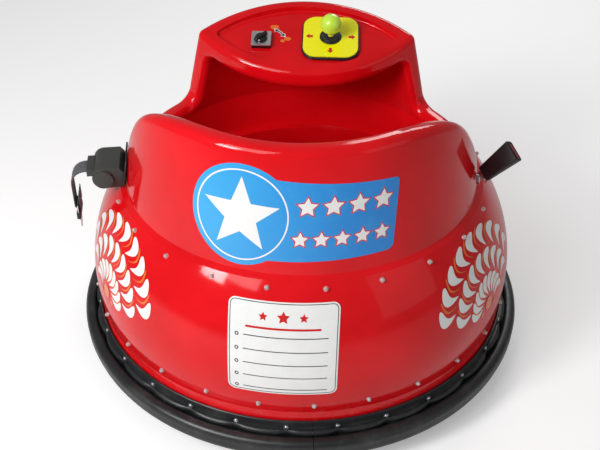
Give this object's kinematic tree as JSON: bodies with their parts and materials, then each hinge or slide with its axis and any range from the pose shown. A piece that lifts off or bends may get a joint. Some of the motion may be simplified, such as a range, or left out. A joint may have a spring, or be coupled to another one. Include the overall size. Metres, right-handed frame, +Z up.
{
  "type": "bumper car",
  "caption": "Round battery bumper car with a domed red body, wrap-round seat back, joystick console, lap belt, rubber bumper ring, driven wheels and swivel casters.",
  "frame": {"origin": "on the floor under the middle of the round bumper ring", "axes": "+Z up, +Y the way the rider faces (console side), +X to the rider's right"},
  "size_m": [1.0648, 1.0648, 0.7051],
  "materials": {
    "red_shell": "high-gloss red gelcoat over glass-fibre moulding",
    "bumper_rubber": "extruded black rubber, satin with dull dust",
    "lamp_lens": "clear-to-milky moulded lens",
    "chassis_steel": "black stove enamel on welded steel tube",
    "battery_case": "dark grey moulded battery case",
    "gearbox_alloy": "as-cast alloy housing",
    "motor_paint": "black painted motor can",
    "shaft_steel": "turned steel",
    "hub_alloy": "cast alloy wheel centre",
    "drive_tyre": "solid rubber tyre",
    "caster_zinc": "bright zinc plated pressing",
    "caster_core": "grey nylon wheel centre",
    "caster_tread": "grey-black thermoplastic rubber tread",
    "black_plastic": "satin black moulding",
    "yellow_face": "lemon yellow printed facing",
    "yellow_stem": "yellow moulded stem",
    "lime_knob": "translucent yellow-green ball",
    "switch_face": "silver-white switch escutcheon",
    "switch_black": "glossy black knob",
    "reel_plastic": "weathered satin black-green housing",
    "belt_steel": "black coated steel plate",
    "webbing": "woven polyester webbing",
    "tongue_chrome": "chromed steel tongue",
    "zinc_steel": "zinc plated steel",
    "button_red": "red release button"
  },
  "bodies": {
    "chassis": {"body_skirt": "red_shell", "seat_back": "red_shell", "console": "red_shell", "cockpit_tub": "red_shell", "bumper_ring": "bumper_rubber", "lamps": "lamp_lens", "chassis_hoop": "chassis_steel", "chassis_rails": "chassis_steel", "cross_members": "chassis_steel", "drive_plates": "chassis_steel", "battery_tray": "chassis_steel", "batteries": "battery_case", "gearbox_left": "gearbox_alloy", "gearbox_right": "gearbox_alloy", "motor_left": "motor_paint", "motor_right": "motor_paint", "caster_front_plate": "caster_zinc", "caster_rear_plate": "caster_zinc", "joystick_base": "black_plastic", "joystick_plate": "yellow_face", "joystick_boot": "black_plastic", "joystick_stem": "yellow_stem", "joystick_knob": "lime_knob", "switch_base": "switch_black", "switch_plate": "switch_face", "switch_knob": "switch_black", "belt_bracket": "belt_steel", "belt_reel": "reel_plastic", "belt_strap": "webbing", "tongue_boot": "black_plastic", "tongue_plate": "tongue_chrome", "buckle_anchor": "zinc_steel", "buckle_body": "black_plastic", "buckle_button": "button_red"},
    "wheel_left": {"shaft_left": "shaft_steel", "hub_left": "hub_alloy", "tyre_left": "drive_tyre"},
    "wheel_right": {"shaft_right": "shaft_steel", "hub_right": "hub_alloy", "tyre_right": "drive_tyre"},
    "caster_front_swivel": {"caster_front_fork": "caster_zinc", "caster_front_bolt": "caster_zinc"},
    "caster_front_wheel": {"caster_front_core": "caster_core", "caster_front_tread": "caster_tread"},
    "caster_rear_swivel": {"caster_rear_fork": "caster_zinc", "caster_rear_bolt": "caster_zinc"},
    "caster_rear_wheel": {"caster_rear_core": "caster_core", "caster_rear_tread": "caster_tread"}
  },
  "joints": [
    {"name": "wheel_left_spin", "type": "hinge", "parent": "chassis", "child": "wheel_left", "pos_m": [-0.372, 0, 0.1], "axis": [1, 0, 0], "continuous": true},
    {"name": "wheel_right_spin", "type": "hinge", "parent": "chassis", "child": "wheel_right", "pos_m": [0.372, 0, 0.1], "axis": [1, 0, 0], "continuous": true},
    {"name": "caster_front_turn", "type": "hinge", "parent": "chassis", "child": "caster_front_swivel", "pos_m": [0, 0.385, 0.095], "axis": [0, 0, 1], "continuous": true},
    {"name": "caster_front_roll", "type": "hinge", "parent": "caster_front_swivel", "child": "caster_front_wheel", "pos_m": [0, 0.357, 0.0375], "axis": [1, 0, 0], "continuous": true},
    {"name": "caster_rear_turn", "type": "hinge", "parent": "chassis", "child": "caster_rear_swivel", "pos_m": [0, -0.385, 0.095], "axis": [0, 0, 1], "continuous": true},
    {"name": "caster_rear_roll", "type": "hinge", "parent": "caster_rear_swivel", "child": "caster_rear_wheel", "pos_m": [0, -0.413, 0.0375], "axis": [1, 0, 0], "continuous": true}
  ]
}
